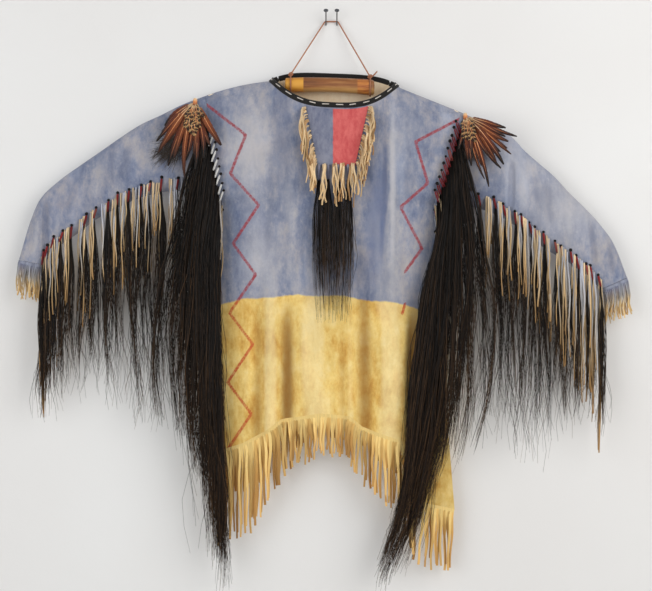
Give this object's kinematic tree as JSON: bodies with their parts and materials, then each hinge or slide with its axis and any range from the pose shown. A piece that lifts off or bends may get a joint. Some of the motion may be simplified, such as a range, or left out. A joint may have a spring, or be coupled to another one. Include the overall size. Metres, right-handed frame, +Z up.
{
  "type": "war shirt on a hanging rod",
  "caption": "Painted hide war shirt with hair locks, hide fringe and shoulder feathers, hung open on a wooden rod from wall pins.",
  "frame": {"origin": "on the wall, midway between the two wall pins that the thong hangs over", "axes": "+Z up, +Y into the wall, +X to the viewer's right, towards the wearer's left sleeve"},
  "size_m": [1.4438, 0.0967, 1.3525],
  "materials": {
    "blue_hide": "matte suede painted blue-grey, with the lower body yellow",
    "yellow_fringe": "matte cut hide painted yellow",
    "raw_hide": "matte tanned hide",
    "red_blue_hide": "matte suede, half blue and half red",
    "black_cloth": "matte, with white running stitches",
    "hair": "dark hair with a soft sheen",
    "feather": "chestnut barbs with black tips",
    "wood": "worn and hand polished",
    "thong": "smooth brown thong",
    "steel": "dull steel"
  },
  "bodies": {
    "root": {"front": "blue_hide", "back": "blue_hide", "sleeve_left": "blue_hide", "sleeve_right": "blue_hide", "neck_binding": "black_cloth", "bib": "red_blue_hide", "bib_fringe_left": "raw_hide", "bib_fringe_right": "raw_hide", "bib_fringe_bottom": "raw_hide", "bib_locks": "hair", "hem_fringe_front": "yellow_fringe", "hem_fringe_back": "yellow_fringe", "cuff_fringe_left": "raw_hide", "cuff_fringe_right": "raw_hide", "sleeve_fringe_left": "raw_hide", "sleeve_fringe_right": "raw_hide", "sleeve_locks_left": "hair", "sleeve_locks_right": "hair", "side_locks_left": "hair", "side_locks_right": "hair", "side_locks_low_left": "hair", "side_locks_low_right": "hair", "feathers_left": "feather", "feathers_right": "feather", "rod": "wood", "hang_cord": "thong", "pin_left": "steel", "pin_right": "steel"}
  },
  "joints": []
}
